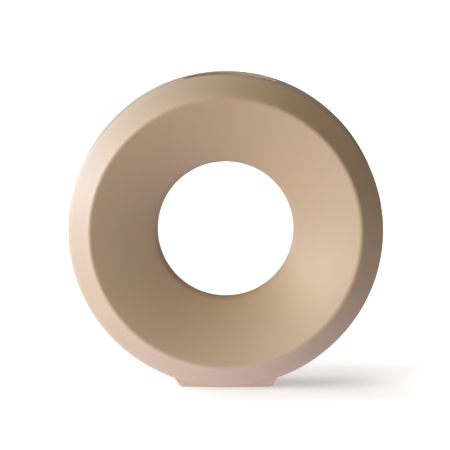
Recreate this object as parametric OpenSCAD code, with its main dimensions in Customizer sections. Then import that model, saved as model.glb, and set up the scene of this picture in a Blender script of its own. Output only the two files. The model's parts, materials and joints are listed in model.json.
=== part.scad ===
// Donut vase: a hollow ring of glazed clay standing on a low foot.
// Two dished halves are joined with slip at the middle plane, the foot is stuck to a flat seat
// under the ring, and a slot-like mouth is cut through the outer band at the top.
// The origin is the centre of the base. The front faces -Y and the hole runs along Y.

/* [Ring] */
// Outer diameter of the ring
ring_d = 285; // [260:1:320]
// Diameter of the hole through the middle
hole_d = 123; // [105:1:140]
// Depth of the ring across its front and back ridges
ring_depth = 75; // [64:1:90]
// Diameter of the ridge between the dished face and the bevel
ridge_d = 245; // [225:1:260]
// Width of the straight band round the outside, front to back
band_w = 41; // [34:1:50]
// Radius of the rounded wall of the centre hole
neck_r = 10; // [9:0.5:16]
// Radius of the shallow crown across each dished face
face_r = 260; // [180:5:500]
// Radius of the softened ridge
ridge_r = 4; // [2:0.5:8]
// Radius of the softened edge between the bevel and the band
edge_r = 4; // [2:0.5:7]

/* [Clay wall] */
// Thickness of the fired clay wall
wall = 6; // [4:0.5:8]
// Radius of the corners inside the hollow
hollow_r = 4; // [2:0.5:8]
// Thickness of the slip in each joint
slip = 0.6; // [0.4:0.1:1.5]

/* [Glaze] */
// Thickness of the matte glaze outside
coat = 0.5; // [0.3:0.1:1]
// Thickness of the glaze that lines the hollow
lining = 0.4; // [0.3:0.1:1]
// Height of the bare clay left round the foot
dry_h = 0.8; // [0.7:0.1:1]

/* [Mouth] */
// Length of the mouth along the band
mouth_w = 84; // [60:1:110]
// Width of the mouth, front to back
mouth_d = 27; // [20:1:30]
// Radius of the two ends of the mouth
mouth_end_r = 7; // [4:0.5:9]
// Turn of the mouth to the right of the top, in degrees
mouth_turn = 1.5; // [0:0.1:5]

/* [Foot] */
// Width of the foot at the surface it stands on, before its edge is rounded
foot_w = 85.5; // [70:0.5:105]
// Depth of the foot, front to back
foot_d = 40; // [34:0.5:41]
// Lean of the two ends of the foot, in degrees
foot_draft = 24; // [10:1:30]
// Radius of the hollow curve between the foot and the ring
foot_blend_r = 5; // [3:0.5:8]
// Radius of the bottom edge at the two ends
foot_edge_r = 2.5; // [1.5:0.5:4]
// Height of the flat seat that the foot is joined to
foot_seat_h = 4; // [3:0.25:4.5]
// Gap between the lowest point of the ring and the surface
foot_lift = 0.8; // [0.6:0.1:1.5]
// Width of the foot ring round the hollowed underside
foot_ring_w = 7; // [4:0.5:10]
// Depth of the hollow in the underside
foot_hollow_h = 1.2; // [0.5:0.1:2]
// Radius of the corners of that hollow
foot_hollow_r = 4; // [2:0.5:5]

/* [Hidden] */
$fn = 240;
corner_fn = 64;
face_fn = 1440;
clay_colour = [0.85, 0.76, 0.68];
slip_colour = [0.78, 0.69, 0.61];
glaze_colour = [0.80, 0.66, 0.54];
lining_colour = [0.72, 0.60, 0.50];

ring_r = ring_d / 2;
centre_z = ring_r + foot_lift;
band_h = band_w / 2;
// How far cutters run past what they cut
over = 5;
// Depth of the outer wall with its coat, from the outside to the hollow
wall_in = coat + wall;
foot_bare_w = foot_w - 2 * coat / cos(foot_draft);
foot_bare_d = foot_d - 2 * coat;

// Each curve of the ring's section keeps its centre when the section is drawn smaller,
// so the coat, the clay and the lining stay parallel everywhere.
neck_c = [hole_d / 2 + neck_r, 0];
ridge_p = [ridge_d / 2, ring_depth / 2];
band_p = [ring_r, band_h];
bevel_dir = unit(band_p - ridge_p);
bevel_out = [-bevel_dir.y, bevel_dir.x];
face_c = crown_centre(ridge_p, face_r, neck_c, face_r - neck_r);

function unit(v) = v / norm(v);

// Centre of the face's crown: face_r from the ridge, and touching the neck's circle from inside
function crown_centre(p, p_r, q, q_r) =
    let (gap = norm(q - p), along = (gap * gap + p_r * p_r - q_r * q_r) / (2 * gap),
        aside = sqrt(p_r * p_r - along * along), dir = unit(q - p))
    p + along * dir + aside * [-dir.y, dir.x];

// Centre of the corner between the crowned face and the bevel, for a section drawn smaller by inset
function ridge_centre(inset, r) =
    let (start = band_p - (inset + r) * bevel_out, q = start - face_c, reach = face_r - inset - r,
        b = q * bevel_dir)
    start + (-b - sqrt(b * b - q * q + reach * reach)) * bevel_dir;

// Centre of the corner between the bevel and the band
function edge_centre(inset, r) =
    let (start = band_p - (inset + r) * bevel_out)
    start + ((ring_r - inset - r - start.x) / bevel_dir.x) * bevel_dir;

function flip(p) = [p.x, -p.y];

// What rounding takes off a corner: r and c are the rounding's radius and centre, and the two
// directions point from c to where the rounding meets the sides of the corner
module corner_waste(c, r, from, to) {
    middle = unit(from + to);
    difference() {
        polygon([c + r * from, c + (1.2 * r / (from * middle) + 1) * middle, c + r * to]);
        translate(c) circle(r = r, $fn = corner_fn);
    }
}

// Section of the ring through its wall, drawn smaller by inset: two crowned faces, two bevels
// and the band, with the neck, the ridges and the band's edges rounded off
module section(inset, r_ridge, r_edge) {
    ridge = ridge_centre(inset, r_ridge);
    edge = edge_centre(inset, r_edge);
    corner = edge_centre(inset, 0);
    top = corner - (norm(band_p - ridge_p) + over) * bevel_dir;
    to_neck = unit(neck_c - face_c);
    difference() {
        intersection() {
            polygon([[0, top.y], top, corner, flip(corner), flip(top), [0, -top.y]]);
            translate(face_c) circle(r = face_r - inset, $fn = face_fn);
            translate(flip(face_c)) circle(r = face_r - inset, $fn = face_fn);
        }
        for (side = [0, 1]) mirror([0, side]) {
            corner_waste(ridge, r_ridge, unit(ridge - face_c), bevel_out);
            corner_waste(edge, r_edge, bevel_out, [1, 0]);
        }
        corner_waste(neck_c, neck_r - inset, to_neck, flip(to_neck));
    }
}

// The whole ring without its hollow, drawn smaller by inset
module ring_solid(inset) {
    translate([0, 0, centre_z]) rotate([90, 0, 0])
        rotate_extrude() section(inset, ridge_r - inset, edge_r - inset);
}

// The space inside the ring
module hollow_solid(inset) {
    translate([0, 0, centre_z]) rotate([90, 0, 0])
        rotate_extrude() section(wall_in + inset, hollow_r - inset, hollow_r - inset);
}

// Oval of four arcs, w long and d wide, with ends of radius end_r
module oval(w, d, end_r) {
    end_c = [w / 2 - end_r, 0];
    side_r = (end_c.x * end_c.x + d * d / 4 - end_r * end_r) / (d - 2 * end_r);
    side_c = [0, d / 2 - side_r];
    to_end = unit(end_c - side_c);
    difference() {
        intersection() {
            translate(side_c) circle(r = side_r);
            translate(-side_c) circle(r = side_r);
        }
        for (side = [0, 1]) mirror([side, 0]) corner_waste(end_c, end_r, to_end, flip(to_end));
    }
}

// Cutter for the mouth, grown all round
module mouth_cut(grow) {
    translate([0, 0, centre_z]) rotate([0, mouth_turn, 0])
        translate([0, 0, ring_r - wall_in - mouth_d])
            linear_extrude(wall_in + mouth_d + over)
                oval(mouth_w + 2 * grow, mouth_d + 2 * grow, mouth_end_r + grow);
}

// Outline of the foot seen from the front, drawn smaller by inset. Its top lies inside the
// ring's outline, and a concave blend leads each of its leaning ends into the ring's outside.
module foot_outline(inset) {
    base_x = foot_w / 2 - inset / cos(foot_draft);
    lean = [sin(foot_draft), cos(foot_draft)];
    lean_out = [lean.y, -lean.x];
    r_edge = foot_edge_r - inset;
    edge_c = [base_x + r_edge * tan(foot_draft) - r_edge / cos(foot_draft), r_edge];
    r_blend = foot_blend_r + inset;
    centre = [0, centre_z];
    start = [base_x, 0] + r_blend * lean_out;
    q = start - centre;
    b = q * lean;
    blend_c = start + (-b - sqrt(b * b - q * q + pow(ring_r - inset + r_blend, 2))) * lean;
    blend_side = blend_c - r_blend * lean_out;
    blend_ring = centre + (ring_r - inset) * unit(blend_c - centre);
    difference() {
        polygon([[-base_x, 0], [base_x, 0], blend_side, blend_ring,
            [-blend_ring.x, blend_ring.y], [-blend_side.x, blend_side.y]]);
        for (side = [0, 1]) mirror([side, 0]) {
            translate(blend_c) circle(r = r_blend, $fn = corner_fn);
            corner_waste(edge_c, r_edge, [0, -1], lean_out);
        }
    }
}

// The foot as a full block whose top still lies inside the ring
module foot_block(inset) {
    depth = foot_d - 2 * inset;
    translate([0, depth / 2, 0]) rotate([90, 0, 0]) linear_extrude(depth) foot_outline(inset);
}

// Space taken by the seat under the ring, up to height h
module seat_cut(h) {
    translate([-foot_bare_w / 2, -foot_bare_d / 2, -over]) cube([foot_bare_w, foot_bare_d, h + over]);
}

// Hollow in the underside of the foot
module foot_hollow() {
    size = [foot_bare_w - 2 * foot_ring_w, foot_bare_d - 2 * foot_ring_w];
    corner_c = size / 2 - [foot_hollow_r, foot_hollow_r];
    translate([0, 0, -over]) linear_extrude(foot_hollow_h + over) difference() {
        square(size, center = true);
        for (x = [0, 1], y = [0, 1]) mirror([x, 0]) mirror([0, y])
            corner_waste(corner_c, foot_hollow_r, [1, 0], [0, 1]);
    }
}

// The clay of the hollow ring before it is parted into its two halves
module ring_clay() {
    difference() {
        ring_solid(coat);
        hollow_solid(0);
        mouth_cut(coat);
        seat_cut(foot_seat_h + slip);
    }
}

// A block on one side of the middle plane, starting half a slip away from it
module side_block(side) {
    size = [ring_d + 2 * over, ring_depth, ring_d + 2 * over];
    translate([0, side * (size.y + slip) / 2, centre_z]) cube(size, center = true);
}

module shell(side) {
    intersection() {
        ring_clay();
        side_block(side);
    }
}

module front_shell() {
    color(clay_colour) shell(-1);
}

module back_shell() {
    color(clay_colour) shell(1);
}

// The thin disc that the slip fills at the middle plane, between two radii
module seam_disc(r_in, r_out) {
    translate([0, slip / 2, centre_z]) rotate([90, 0, 0]) difference() {
        cylinder(r = r_out, h = slip);
        translate([0, 0, -over]) cylinder(r = r_in, h = slip + 2 * over);
    }
}

module outer_seam_slip() {
    color(slip_colour) intersection() {
        ring_clay();
        seam_disc(ring_r - wall_in - over, ring_r + over);
    }
}

module neck_seam_slip() {
    color(slip_colour) intersection() {
        ring_clay();
        seam_disc(hole_d / 2 - over, neck_c.x);
    }
}

module foot() {
    color(clay_colour) difference() {
        foot_block(coat);
        difference() {
            ring_solid(coat);
            seat_cut(foot_seat_h);
        }
        foot_hollow();
    }
}

module foot_joint_slip() {
    color(slip_colour) intersection() {
        ring_solid(coat);
        difference() {
            seat_cut(foot_seat_h + slip);
            seat_cut(foot_seat_h);
        }
    }
}

module outer_glaze() {
    color(glaze_colour) difference() {
        union() {
            ring_solid(0);
            foot_block(0);
        }
        difference() {
            ring_solid(coat);
            mouth_cut(coat);
        }
        foot_block(coat);
        hollow_solid(0);
        mouth_cut(0);
        translate([0, 0, -over]) linear_extrude(dry_h + over) square(2 * ring_d, center = true);
    }
}

module inner_glaze() {
    color(lining_colour) difference() {
        hollow_solid(0);
        hollow_solid(lining);
        mouth_cut(0);
    }
}

front_shell();
back_shell();
outer_seam_slip();
neck_seam_slip();
foot();
foot_joint_slip();
outer_glaze();
inner_glaze();
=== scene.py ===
"""Donut vase: a hollow ring of clay on a low foot, dressed with its matte glaze, lining and bare clay.

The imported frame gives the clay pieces. This script grows the glaze over them as closed skins with a
rounded lip at the mouth and softened seams at the foot, finishes every surface, and lights the vase
on a plain white floor.
"""
import json
import logging
import math
from dataclasses import dataclass, field
from enum import Enum
from functools import cached_property
from itertools import product

import bpy
import numpy as np
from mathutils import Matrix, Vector

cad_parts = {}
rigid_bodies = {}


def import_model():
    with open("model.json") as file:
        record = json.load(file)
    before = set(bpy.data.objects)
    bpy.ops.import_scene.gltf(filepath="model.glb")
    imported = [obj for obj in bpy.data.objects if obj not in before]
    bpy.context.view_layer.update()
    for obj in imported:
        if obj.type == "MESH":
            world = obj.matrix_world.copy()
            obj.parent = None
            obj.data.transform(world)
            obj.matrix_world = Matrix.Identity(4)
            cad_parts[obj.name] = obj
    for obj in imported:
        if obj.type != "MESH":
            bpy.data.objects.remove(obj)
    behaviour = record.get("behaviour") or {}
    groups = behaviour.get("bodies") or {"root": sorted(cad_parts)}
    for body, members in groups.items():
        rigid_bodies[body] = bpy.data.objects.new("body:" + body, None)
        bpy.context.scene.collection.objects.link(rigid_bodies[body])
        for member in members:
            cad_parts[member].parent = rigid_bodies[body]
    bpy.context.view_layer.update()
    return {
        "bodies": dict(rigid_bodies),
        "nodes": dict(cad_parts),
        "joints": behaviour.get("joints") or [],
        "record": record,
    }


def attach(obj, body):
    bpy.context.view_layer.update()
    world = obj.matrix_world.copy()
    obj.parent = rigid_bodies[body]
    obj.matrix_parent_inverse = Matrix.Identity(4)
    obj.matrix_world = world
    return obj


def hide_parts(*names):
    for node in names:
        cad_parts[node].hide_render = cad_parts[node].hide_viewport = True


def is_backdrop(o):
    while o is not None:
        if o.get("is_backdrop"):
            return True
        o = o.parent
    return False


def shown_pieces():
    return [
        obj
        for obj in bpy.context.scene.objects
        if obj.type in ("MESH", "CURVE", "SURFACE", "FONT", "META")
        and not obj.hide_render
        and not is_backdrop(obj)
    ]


LOG = logging.getLogger("donut_vase")
MM = 0.001
HAIR = 1e-9
PHOTO_SIDE = 450
SKIRT_LEVELS = 16
QUARTER = math.pi / 2
UP = np.array([0, 0, 1])
Colour = tuple[float, float, float]
Value = float | tuple[float, ...] | bpy.types.NodeSocket
Span = tuple[int, int]
Patch = tuple[Span, Span]


class Slot(Enum):
    """The record's material slots, one for each finish of the vase."""

    MATTE_GLAZE = "matte_glaze"
    LINING_GLAZE = "lining_glaze"
    FIRED_CLAY = "fired_clay"
    JOINT_SLIP = "joint_slip"


class Window(Enum):
    """The places where a skin's even grid stays open for a patch that follows the mouth or the foot."""

    MOUTH = "mouth"
    FOOT = "foot"


def unit(v: np.ndarray) -> np.ndarray:
    """Return v at length one."""
    return v / np.linalg.norm(v)


def turned(angle: float) -> np.ndarray:
    """Return the flat direction at an angle in radians."""
    return np.array([math.cos(angle), math.sin(angle)])


def angle_of(v: np.ndarray) -> float:
    """Return the angle of a flat direction in radians."""
    return math.atan2(v[1], v[0])


def smooth(t: np.ndarray | float) -> np.ndarray | float:
    """Return t eased between 0 and 1, with no slope at either end."""
    t = np.clip(t, 0.0, 1.0)
    return t * t * (3 - 2 * t)


def fading(t: np.ndarray) -> np.ndarray:
    """Return 1 where t is 0, falling to nothing as a bell curve does."""
    return np.exp(-t ** 2)


@dataclass(frozen=True)
class RingSection:
    """Section of the ring through its wall, as radius from the hole's axis and depth from its middle.

    It has a rounded neck, a crowned face, a ridge, a bevel, an edge and half of the outer band, and it
    keeps the same centres when it is drawn smaller, so all the skins lie parallel. The pitches are how
    closely its points lie on each stretch, as shares of the step on the face and the bevel.
    """

    ring_r: float
    hole_r: float = 61.5 * MM
    ridge_at: tuple[float, float] = (122.5 * MM, 37.5 * MM)
    band_h: float = 20.5 * MM
    neck_r: float = 10 * MM
    face_r: float = 260 * MM
    neck_pitch: float = 0.6
    turn_pitch: float = 0.35
    split_pitch: float = 0.3
    band_pitch: float = 0.5

    @property
    def neck_c(self) -> np.ndarray:
        """Centre of the neck's rounding."""
        return np.array([self.hole_r + self.neck_r, 0.0])

    @property
    def corner(self) -> np.ndarray:
        """Where the bevel and the band would meet without a rounding."""
        return np.array([self.ring_r, self.band_h])

    @property
    def bevel_dir(self) -> np.ndarray:
        """Direction down the bevel, from the ridge to the band."""
        return unit(self.corner - np.array(self.ridge_at))

    @property
    def bevel_out(self) -> np.ndarray:
        """Direction straight out of the bevel."""
        return np.array([-self.bevel_dir[1], self.bevel_dir[0]])

    @property
    def face_c(self) -> np.ndarray:
        """Centre of the face's crown, which passes the ridge and touches the neck's rounding.

        Returns:
            The centre as radius and depth.
        """
        p = np.array(self.ridge_at)
        gap = np.linalg.norm(self.neck_c - p)
        reach = self.face_r - self.neck_r
        along = (gap**2 + self.face_r**2 - reach**2) / (2 * gap)
        aside = math.sqrt(self.face_r**2 - along**2)
        d = unit(self.neck_c - p)
        return p + along * d + aside * np.array([-d[1], d[0]])

    def ridge_c(self, inset: float, r: float) -> np.ndarray:
        """Find the centre of the ridge's rounding.

        Args:
            inset: How much smaller the section is drawn.
            r: Radius of the rounding.

        Returns:
            The centre as radius and depth.
        """
        start = self.corner - (inset + r) * self.bevel_out
        q = start - self.face_c
        b = q @ self.bevel_dir
        return start + (-b - math.sqrt(b * b - q @ q + (self.face_r - inset - r) ** 2)) * self.bevel_dir

    def edge_c(self, inset: float, r: float) -> np.ndarray:
        """Find the centre of the rounding between the bevel and the band.

        Args:
            inset: How much smaller the section is drawn.
            r: Radius of the rounding.

        Returns:
            The centre as radius and depth.
        """
        start = self.corner - (inset + r) * self.bevel_out
        return start + ((self.ring_r - inset - r - start[0]) / self.bevel_dir[0]) * self.bevel_dir

    def outline(self, inset: float, r: float, step: float, mouth_y: float,
                foot_y: float | None = None) -> tuple[np.ndarray, dict[Window, int]]:
        """Walk half of the section, from the neck's middle to the band's middle.

        Args:
            inset: How much smaller the section is drawn.
            r: Radius of the ridge's and the edge's rounding.
            step: Length between points on the flatter stretches.
            mouth_y: Depth on the band where the mouth's window needs a point.
            foot_y: Depth on the edge's rounding where the foot's window needs a point.

        Returns:
            The points as rows of radius and depth, and the row of each window's edge.
        """
        to_neck = angle_of(self.neck_c - self.face_c)
        ridge, edge = self.ridge_c(inset, r), self.edge_c(inset, r)
        to_ridge, to_bevel = angle_of(ridge - self.face_c), angle_of(self.bevel_out)
        points: list[np.ndarray] = []

        def arc(c: np.ndarray, radius: float, start: float, end: float, pitch: float) -> None:
            """Add an arc's points, all but its last."""
            n = max(2, round(abs(end - start) * radius / (step * pitch)))
            points.extend(c + radius * turned(start + (end - start) * i / n) for i in range(n))

        def line(start: np.ndarray, end: np.ndarray, pitch: float) -> None:
            """Add a straight stretch's points, all but its last."""
            n = max(1, round(float(np.linalg.norm(end - start)) / (step * pitch)))
            points.extend(start + (end - start) * i / n for i in range(n))

        arc(self.neck_c, self.neck_r - inset, math.pi, to_neck, self.neck_pitch)
        arc(self.face_c, self.face_r - inset, to_neck, to_ridge, 1.0)
        arc(ridge, r, to_ridge, to_bevel, self.turn_pitch)
        line(ridge + r * self.bevel_out, edge + r * self.bevel_out, 1.0)
        rows = {}
        if foot_y is None:
            arc(edge, r, to_bevel, 0.0, self.turn_pitch)
        else:
            stop = math.asin((foot_y - edge[1]) / r)
            arc(edge, r, to_bevel, stop, self.split_pitch)
            rows[Window.FOOT] = len(points)
            arc(edge, r, stop, 0.0, self.split_pitch)
        out_r = self.ring_r - inset
        line(np.array([out_r, edge[1]]), np.array([out_r, mouth_y]), self.band_pitch)
        rows[Window.MOUTH] = len(points)
        line(np.array([out_r, mouth_y]), np.array([out_r, 0.0]), 1.0)
        points.append(np.array([out_r, 0.0]))
        return np.array(points), rows


@dataclass(frozen=True)
class MouthOval:
    """The slot-like mouth, an oval of four arcs, cut straight down through the band.

    Its window is the stretch of the band round it that a closer-fitted patch fills.
    """

    width: float = 84 * MM
    depth: float = 27 * MM
    end_r: float = 7 * MM
    turn: float = math.radians(1.5)
    window: float = math.radians(24)
    window_h: float = 18 * MM
    side_points: int = 300
    end_points: int = 200

    def edge(self, angles: np.ndarray) -> tuple[np.ndarray, np.ndarray]:
        """Find points and outward directions on the oval.

        Args:
            angles: Angles round the oval, measured as if it were stretched to a circle.

        Returns:
            The points and the directions, one row each.
        """
        end_x = self.width / 2 - self.end_r
        half = self.depth / 2
        side_r = (end_x**2 + half**2 - self.end_r**2) / (2 * (half - self.end_r))
        side_y = side_r - half
        join = math.atan2(end_x, side_y)
        side = np.linspace(0, join, self.side_points)
        end = np.linspace(join, QUARTER, self.end_points)[1:]
        x = np.concatenate([side_r * np.sin(side), end_x + self.end_r * np.sin(end)])
        y = np.concatenate([side_r * np.cos(side) - side_y, self.end_r * np.cos(end)])
        n = np.concatenate([side, end])
        at = np.arctan2(y / half, x / (self.width / 2))[::-1]
        quarter = np.abs(np.arctan2(np.abs(np.sin(angles)), np.abs(np.cos(angles))))
        sx, sy = np.where(np.cos(angles) < 0, -1, 1), np.where(np.sin(angles) < 0, -1, 1)
        px, py, pn = (np.interp(quarter, at, v[::-1]) for v in (x, y, n))
        return np.stack([sx * px, sy * py], 1), np.stack([sx * np.sin(pn), sy * np.cos(pn)], 1)

    def across(self, x: np.ndarray, z: np.ndarray) -> np.ndarray:
        """Return how far to the right of the mouth's middle places round the ring's centre lie."""
        return x * math.cos(self.turn) - z * math.sin(self.turn)

    def upright(self, x: np.ndarray, z: np.ndarray) -> tuple[np.ndarray, np.ndarray]:
        """Turn places from the mouth's own upright frame to the vase's.

        Args:
            x: Distances to the right of the mouth's middle.
            z: Heights over the ring's centre, straight under the mouth.

        Returns:
            The x and z of the same places round the ring's centre.
        """
        s, c = math.sin(self.turn), math.cos(self.turn)
        return x * c + z * s, -x * s + z * c


@dataclass(frozen=True)
class FootForm:
    """The low foot: leaning ends that blend into the ring, crowned front and back, rounded corners."""

    width: float = 85.5 * MM
    depth: float = 40 * MM
    draft: float = math.radians(24)
    blend_r: float = 5 * MM
    edge_r: float = 2.5 * MM
    corner_r: float = 3.5 * MM
    dry_h: float = 0.8 * MM
    crown: float = 3 * MM
    crown_h: float = 8 * MM
    arc_points: int = 60

    def level(self, x: np.ndarray, y: np.ndarray, z: np.ndarray, half_x: float, half_y: float,
              fall: float) -> np.ndarray:
        """Round the corners of a loop round the foot, and crown its front and back.

        Args:
            x: The loop's distances across.
            y: The loop's depths.
            z: The loop's heights.
            half_x: Half of the foot's width at that level.
            half_y: Half of its depth.
            fall: How far down the foot the level lies, from 0 to 1.

        Returns:
            The loop's points, one row each.
        """
        x, y = rounded(x, y, half_x, half_y, self.corner_r * smooth(fall))
        return np.stack([x, self.drawn_in(x, y, z), z], 1)

    def drawn_in(self, x: np.ndarray, y: np.ndarray, z: np.ndarray) -> np.ndarray:
        """Return the depths y with the front and the back drawn in towards the ends of the base."""
        share = self.crown / (self.depth / 2) * (x / (self.width / 2)) ** 2
        return y * (1 - share * smooth(1 - z / self.crown_h))

    def end_path(self, ring_r: float, centre_z: float, inset: float, stop_z: float) -> np.ndarray:
        """Walk down one end of the foot, seen from the front.

        Args:
            ring_r: Outer radius of the ring.
            centre_z: Height of the ring's centre.
            inset: How much smaller the foot is drawn.
            stop_z: Height where the walk ends.

        Returns:
            Closely spaced points of x and z, from the ring down to that height.
        """
        lean = np.array([math.sin(self.draft), math.cos(self.draft)])
        out = np.array([lean[1], -lean[0]])
        centre = np.array([0.0, centre_z])
        base_x = self.width / 2 - inset / math.cos(self.draft)
        blend_r, edge_r = self.blend_r + inset, self.edge_r - inset
        start = np.array([base_x, 0.0]) + blend_r * out
        q = start - centre
        b = q @ lean
        blend = start + (-b - math.sqrt(b * b - q @ q + (ring_r - inset + blend_r) ** 2)) * lean
        edge = np.array([base_x + edge_r * (math.tan(self.draft) - 1 / math.cos(self.draft)), edge_r])
        on_ring, on_side = angle_of(centre - blend), angle_of(-out)
        arc = [blend + blend_r * turned(a) for a in np.linspace(on_ring, on_side, self.arc_points)]
        low = [edge + edge_r * turned(a) for a in np.linspace(angle_of(out), -QUARTER, self.arc_points)]
        path = np.array(arc + low)
        if path[-1, 1] >= stop_z - HAIR:
            return path
        below = int(np.argmax(path[:, 1] < stop_z))
        high, down = path[below - 1], path[below]
        return np.vstack([path[:below], high + (down - high) * (high[1] - stop_z) / (high[1] - down[1])])


def resampled(path: np.ndarray, shares: np.ndarray) -> np.ndarray:
    """Pick points along a path.

    Args:
        path: The path's points, one row each.
        shares: How far along each wanted point lies, from 0 to 1.

    Returns:
        The wanted points, one row each.
    """
    along = np.concatenate([[0.0], np.cumsum(np.linalg.norm(np.diff(path, axis=0), axis=1))])
    return np.stack([np.interp(shares * along[-1], along, path[:, i]) for i in range(path.shape[1])], 1)


def rounded(x: np.ndarray, y: np.ndarray, half_x: float, half_y: float, r: float,
            sharp: float = 0.01 * MM) -> tuple[np.ndarray, np.ndarray]:
    """Round the four corners of a loop that runs round a rectangle.

    Args:
        x: The loop's distances across.
        y: The loop's depths.
        half_x: Half of the rectangle's width.
        half_y: Half of its depth.
        r: Radius of the corners.
        sharp: Corners with a smaller radius than this stay as they are.

    Returns:
        The rounded distances and depths.
    """
    if r < sharp:
        return x, y
    to_x, to_y = half_x - np.abs(x), half_y - np.abs(y)
    on_side = to_y < to_x
    near = (to_x < r) & (to_y < r)
    share = np.clip(np.where(on_side, to_x, to_y) / r, 0, 1) * math.pi / 4
    a = np.where(on_side, math.pi / 4 + share, math.pi / 4 - share)
    rx = half_x - r + r * np.cos(a)
    ry = half_y - r + r * np.sin(a)
    return np.where(near, np.sign(x) * rx, x), np.where(near, np.sign(y) * ry, y)


class Skin:
    """Points and faces of one mesh while it is being made."""

    def __init__(self) -> None:
        """Start with nothing."""
        self.points: list[np.ndarray] = []
        self.faces: list[tuple[int, ...]] = []
        self.marks: np.ndarray | None = None

    def add(self, points: np.ndarray) -> list[int]:
        """Add points.

        Args:
            points: The points, one row each.

        Returns:
            Their numbers.
        """
        first = len(self.points)
        self.points.extend(points)
        return list(range(first, len(self.points)))

    def bridge(self, outer: list[int], inner: list[int]) -> None:
        """Join two closed loops of the same length with four-sided faces."""
        n = len(outer)
        self.faces.extend((outer[i], outer[(i + 1) % n], inner[(i + 1) % n], inner[i]) for i in range(n))

    def bridge_all(self, rings: list[list[int]]) -> None:
        """Join a row of closed loops, each to the next."""
        for outer, inner in zip(rings, rings[1:]):
            self.bridge(outer, inner)

    def rims(self) -> list[tuple[int, int]]:
        """Find the open edges.

        Returns:
            The two points of each open edge, in its face's direction.
        """
        edges = {}
        for face in self.faces:
            for a, b in zip(face, face[1:] + face[:1]):
                edges[(a, b)] = True
        return [(a, b) for a, b in edges if (b, a) not in edges]

    def soften(self, chosen: list[int], rounds: int, share: float) -> None:
        """Ease chosen points towards the middle of their neighbours.

        Args:
            chosen: Numbers of the points that may move.
            rounds: How many times they move.
            share: How far they move each time, from 0 to 1.
        """
        near: dict[int, set[int]] = {i: set() for i in chosen}
        for face in self.faces:
            for a, b in zip(face, face[1:] + face[:1]):
                if a in near:
                    near[a].add(b)
                if b in near:
                    near[b].add(a)
        for _ in range(rounds):
            moved = {i: np.mean([self.points[j] for j in near[i]], axis=0) for i in chosen}
            for i, p in moved.items():
                self.points[i] = self.points[i] * (1 - share) + p * share

    def trimmed(self) -> "Skin":
        """Drop the points that no face uses.

        Returns:
            A skin with the same faces.
        """
        used = sorted({i for face in self.faces for i in face})
        number = {old: new for new, old in enumerate(used)}
        kept = Skin()
        kept.points = [self.points[i] for i in used]
        kept.faces = [tuple(number[i] for i in face) for face in self.faces]
        return kept

    def normals(self) -> np.ndarray:
        """Find each point's outward direction, from the four-sided faces round it.

        Returns:
            The directions, one row for each point.
        """
        pts = np.array(self.points)
        quads = np.array(self.faces)
        across = np.cross(pts[quads[:, 2]] - pts[quads[:, 0]], pts[quads[:, 3]] - pts[quads[:, 1]])
        total = np.zeros_like(pts)
        for corner in quads.T:
            np.add.at(total, corner, across)
        return total / np.linalg.norm(total, axis=1, keepdims=True)

    def thicken(self, thickness: float) -> None:
        """Close the skin into a thin solid by adding its inner side.

        Args:
            thickness: How far inside the outer side the inner one lies.
        """
        n = len(self.points)
        inner = np.array(self.points) - thickness * self.normals()
        rims = self.rims()
        self.points.extend(inner)
        self.faces.extend([tuple(i + n for i in reversed(face)) for face in self.faces])
        self.faces.extend((b, a, a + n, b + n) for a, b in rims)
        if self.marks is not None:
            self.marks = np.concatenate([self.marks, self.marks])

    def build(self, name: str, crease: float = math.radians(50)) -> bpy.types.Object:
        """Make the Blender object.

        Args:
            name: Name of the piece.
            crease: Edges that turn more than this stay sharp.

        Returns:
            The new object, linked to the scene.
        """
        mesh = bpy.data.meshes.new(name)
        mesh.from_pydata([tuple(p) for p in self.points], [], self.faces)
        mesh.validate()
        mesh.polygons.foreach_set("use_smooth", [True] * len(mesh.polygons))
        mesh.set_sharp_from_angle(angle=crease)
        if self.marks is not None:
            mesh.attributes.new("thin_glaze_and_highlight", "FLOAT", "POINT").data.foreach_set("value", self.marks)
        mesh.update()
        piece = bpy.data.objects.new(name, mesh)
        bpy.context.scene.collection.objects.link(piece)
        return piece


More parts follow.
